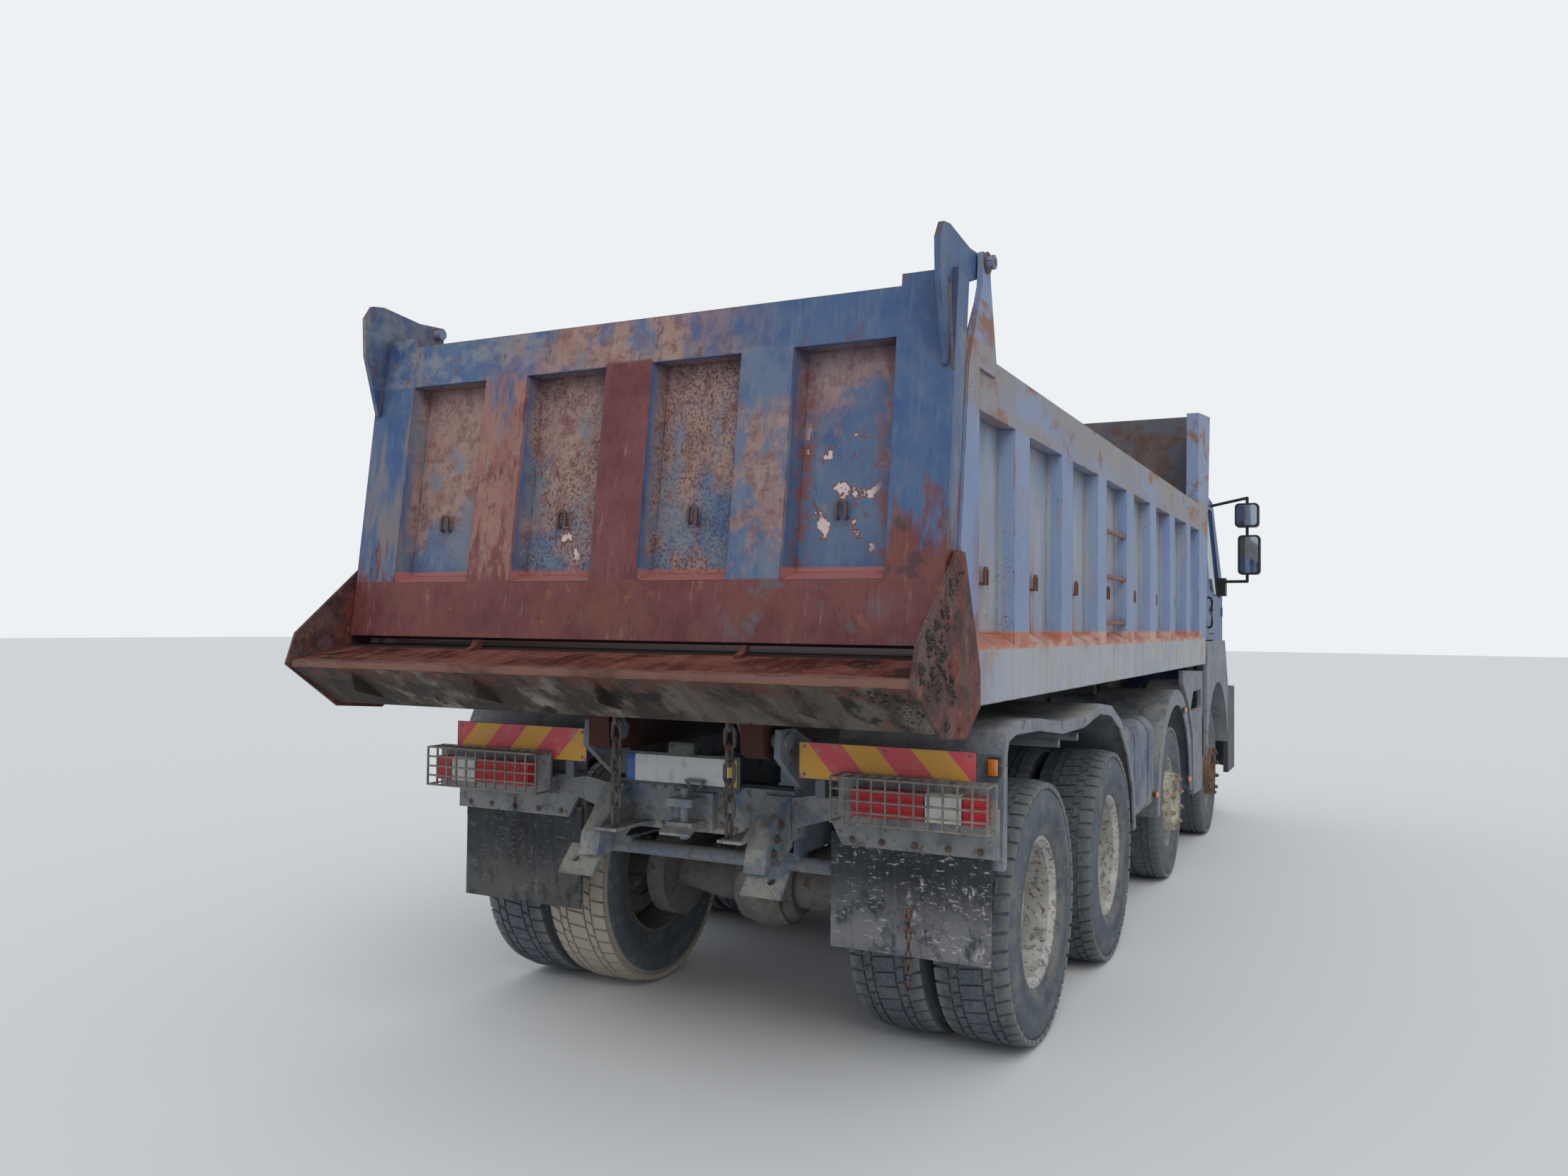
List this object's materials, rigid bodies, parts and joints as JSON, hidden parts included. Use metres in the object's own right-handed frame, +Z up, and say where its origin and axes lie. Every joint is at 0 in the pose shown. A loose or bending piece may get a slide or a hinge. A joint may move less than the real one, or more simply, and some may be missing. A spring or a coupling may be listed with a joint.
{
  "type": "dump truck",
  "caption": "Four-axle rear-tipping dump truck: ribbed steel body with a top-hung tailgate, underfloor hoist and day cab.",
  "frame": {"origin": "on the ground at mid length and mid width", "axes": "+X forward, +Y to the truck's left, +Z up"},
  "size_m": [8.7, 3.02, 3.3799],
  "materials": {
    "tyre_rubber": "matte, dusty",
    "axle_metal": "matte, rusty",
    "frame_paint": "satin, dirty",
    "engine_metal": "matte",
    "tank_paint": "satin, dusty",
    "guard_plastic": "matte, dusty",
    "side_paint": "satin, rust streaked",
    "bed_steel": "matte, worn and rusty",
    "gate_paint": "matte, rusty and pitted",
    "apron_paint": "matte, rusty",
    "hoist_metal": "satin",
    "cab_paint": "gloss, dusty",
    "cab_glass": "clear",
    "mirror_plastic": "matte",
    "arch_plastic": "matte, dusty",
    "bumper_plastic": "matte, dusty",
    "lamp_lens": "gloss",
    "interior_plastic": "matte",
    "seat_cloth": "matte",
    "tail_lens": "gloss, dusty",
    "cage_steel": "matte, rusty",
    "board_film": "matte",
    "flap_rubber": "matte, scratched"
  },
  "bodies": {
    "chassis": {"battery_and_air_tanks": "tank_paint", "bogie_springs": "axle_metal", "cab_glass": "cab_glass", "cab_shell": "cab_paint", "cab_wheel_arches": "arch_plastic", "dashboard": "interior_plastic", "drive_axles": "axle_metal", "engine_block": "engine_metal", "frame_rails": "frame_paint", "front_bumper": "bumper_plastic", "front_grille": "bumper_plastic", "front_springs": "axle_metal", "fuel_tank": "tank_paint", "headlamps": "lamp_lens", "lamp_cages": "cage_steel", "marker_boards": "board_film", "mid_mudguards": "guard_plastic", "mudflaps": "flap_rubber", "plate_holder": "frame_paint", "propeller_shafts": "axle_metal", "rear_beam": "frame_paint", "safety_chains": "cage_steel", "seats": "seat_cloth", "steer_axle_beams": "axle_metal", "steering_wheel": "interior_plastic", "step_panels": "guard_plastic", "tail_lamps": "tail_lens", "tandem_mudguards": "guard_plastic", "tipper_subframe": "frame_paint", "tow_jaw": "frame_paint", "underrun_bar": "frame_paint"},
    "bed": {"bed_floor": "bed_steel", "bed_side_left": "side_paint", "bed_side_right": "side_paint", "headboard": "bed_steel", "rear_apron": "apron_paint"},
    "tailgate": {"tailgate": "gate_paint"},
    "hoist_tube": {"hoist_tube": "hoist_metal"},
    "door_left": {"door_left": "cab_paint", "door_glass_left": "cab_glass", "mirror_left": "mirror_plastic"},
    "door_right": {"door_right": "cab_paint", "door_glass_right": "cab_glass", "mirror_right": "mirror_plastic"},
    "hoist_ram_1": {"hoist_ram_1": "hoist_metal"},
    "hoist_ram_2": {"hoist_ram_2": "hoist_metal"},
    "hoist_ram_3": {"hoist_ram_3": "hoist_metal"},
    "hoist_ram_4": {"hoist_ram_4": "hoist_metal"},
    "knuckle_1_left": {"knuckle_1_left": "axle_metal"},
    "knuckle_1_right": {"knuckle_1_right": "axle_metal"},
    "knuckle_2_left": {"knuckle_2_left": "axle_metal"},
    "knuckle_2_right": {"knuckle_2_right": "axle_metal"},
    "wheel_1_left": {"wheel_1_left": "tyre_rubber"},
    "wheel_1_right": {"wheel_1_right": "tyre_rubber"},
    "wheel_2_left": {"wheel_2_left": "tyre_rubber"},
    "wheel_2_right": {"wheel_2_right": "tyre_rubber"},
    "wheel_3_left": {"wheel_3_left": "tyre_rubber"},
    "wheel_3_right": {"wheel_3_right": "tyre_rubber"},
    "wheel_4_left": {"wheel_4_left": "tyre_rubber"},
    "wheel_4_right": {"wheel_4_right": "tyre_rubber"}
  },
  "joints": [
    {"name": "bed_tip", "type": "hinge", "parent": "chassis", "child": "bed", "pos_m": [-3.5, 0, 1.25], "axis": [0, -1, 0], "range_deg": [0, 45]},
    {"name": "tailgate_swing", "type": "hinge", "parent": "bed", "child": "tailgate", "pos_m": [-3.63, 0, 2.94], "axis": [0, 1, 0], "range_deg": [0, 80]},
    {"name": "hoist_tilt", "type": "hinge", "parent": "chassis", "child": "hoist_tube", "pos_m": [-0.85, 0, 0.72], "axis": [0, -1, 0], "range_deg": [0, 19]},
    {"name": "ram_1_slide", "type": "slide", "parent": "hoist_tube", "child": "hoist_ram_1", "axis": [0, 0, 1], "range_m": [0, 0.5]},
    {"name": "ram_2_slide", "type": "slide", "parent": "hoist_ram_1", "child": "hoist_ram_2", "axis": [0, 0, 1], "range_m": [0, 0.5]},
    {"name": "ram_3_slide", "type": "slide", "parent": "hoist_ram_2", "child": "hoist_ram_3", "axis": [0, 0, 1], "range_m": [0, 0.5]},
    {"name": "ram_4_slide", "type": "slide", "parent": "hoist_ram_3", "child": "hoist_ram_4", "axis": [0, 0, 1], "range_m": [0, 0.5]},
    {"name": "door_left_hinge", "type": "hinge", "parent": "chassis", "child": "door_left", "pos_m": [4.0035, 1.152, 1.6], "axis": [0, 0, -1], "range_deg": [0, 70]},
    {"name": "door_right_hinge", "type": "hinge", "parent": "chassis", "child": "door_right", "pos_m": [4.0035, -1.152, 1.6], "axis": [0, 0, 1], "range_deg": [0, 70]},
    {"name": "steer_1_left", "type": "hinge", "parent": "chassis", "child": "knuckle_1_left", "pos_m": [2.905, 0.88, 0.515], "axis": [0, 0, 1], "range_deg": [-40, 40]},
    {"name": "steer_1_right", "type": "hinge", "parent": "chassis", "child": "knuckle_1_right", "pos_m": [2.905, -0.88, 0.515], "axis": [0, 0, 1], "range_deg": [-40, 40]},
    {"name": "steer_2_left", "type": "hinge", "parent": "chassis", "child": "knuckle_2_left", "pos_m": [0.91, 0.88, 0.515], "axis": [0, 0, 1], "range_deg": [-24, 24]},
    {"name": "steer_2_right", "type": "hinge", "parent": "chassis", "child": "knuckle_2_right", "pos_m": [0.91, -0.88, 0.515], "axis": [0, 0, 1], "range_deg": [-24, 24]},
    {"name": "roll_1_left", "type": "hinge", "parent": "knuckle_1_left", "child": "wheel_1_left", "pos_m": [2.905, 1.026, 0.515], "axis": [0, 1, 0], "continuous": true},
    {"name": "roll_1_right", "type": "hinge", "parent": "knuckle_1_right", "child": "wheel_1_right", "pos_m": [2.905, -1.026, 0.515], "axis": [0, 1, 0], "continuous": true},
    {"name": "roll_2_left", "type": "hinge", "parent": "knuckle_2_left", "child": "wheel_2_left", "pos_m": [0.91, 1.026, 0.515], "axis": [0, 1, 0], "continuous": true},
    {"name": "roll_2_right", "type": "hinge", "parent": "knuckle_2_right", "child": "wheel_2_right", "pos_m": [0.91, -1.026, 0.515], "axis": [0, 1, 0], "continuous": true},
    {"name": "roll_3_left", "type": "hinge", "parent": "chassis", "child": "wheel_3_left", "pos_m": [-1.33, 0.908, 0.532], "axis": [0, 1, 0], "continuous": true},
    {"name": "roll_3_right", "type": "hinge", "parent": "chassis", "child": "wheel_3_right", "pos_m": [-1.33, -0.908, 0.532], "axis": [0, 1, 0], "continuous": true},
    {"name": "roll_4_left", "type": "hinge", "parent": "chassis", "child": "wheel_4_left", "pos_m": [-2.7, 0.908, 0.532], "axis": [0, 1, 0], "continuous": true},
    {"name": "roll_4_right", "type": "hinge", "parent": "chassis", "child": "wheel_4_right", "pos_m": [-2.7, -0.908, 0.532], "axis": [0, 1, 0], "continuous": true}
  ],
  "couplings": [
    {"joint": "hoist_tilt", "follows": "bed_tip", "ratio": 0.4156},
    {"joint": "ram_1_slide", "follows": "bed_tip", "m_per_rad": 0.6326},
    {"joint": "ram_2_slide", "follows": "bed_tip", "m_per_rad": 0.6326},
    {"joint": "ram_3_slide", "follows": "bed_tip", "m_per_rad": 0.6326},
    {"joint": "ram_4_slide", "follows": "bed_tip", "m_per_rad": 0.6326},
    {"joint": "steer_1_right", "follows": "steer_1_left", "ratio": 1},
    {"joint": "steer_2_left", "follows": "steer_1_left", "ratio": 0.594},
    {"joint": "steer_2_right", "follows": "steer_1_left", "ratio": 0.594}
  ]
}
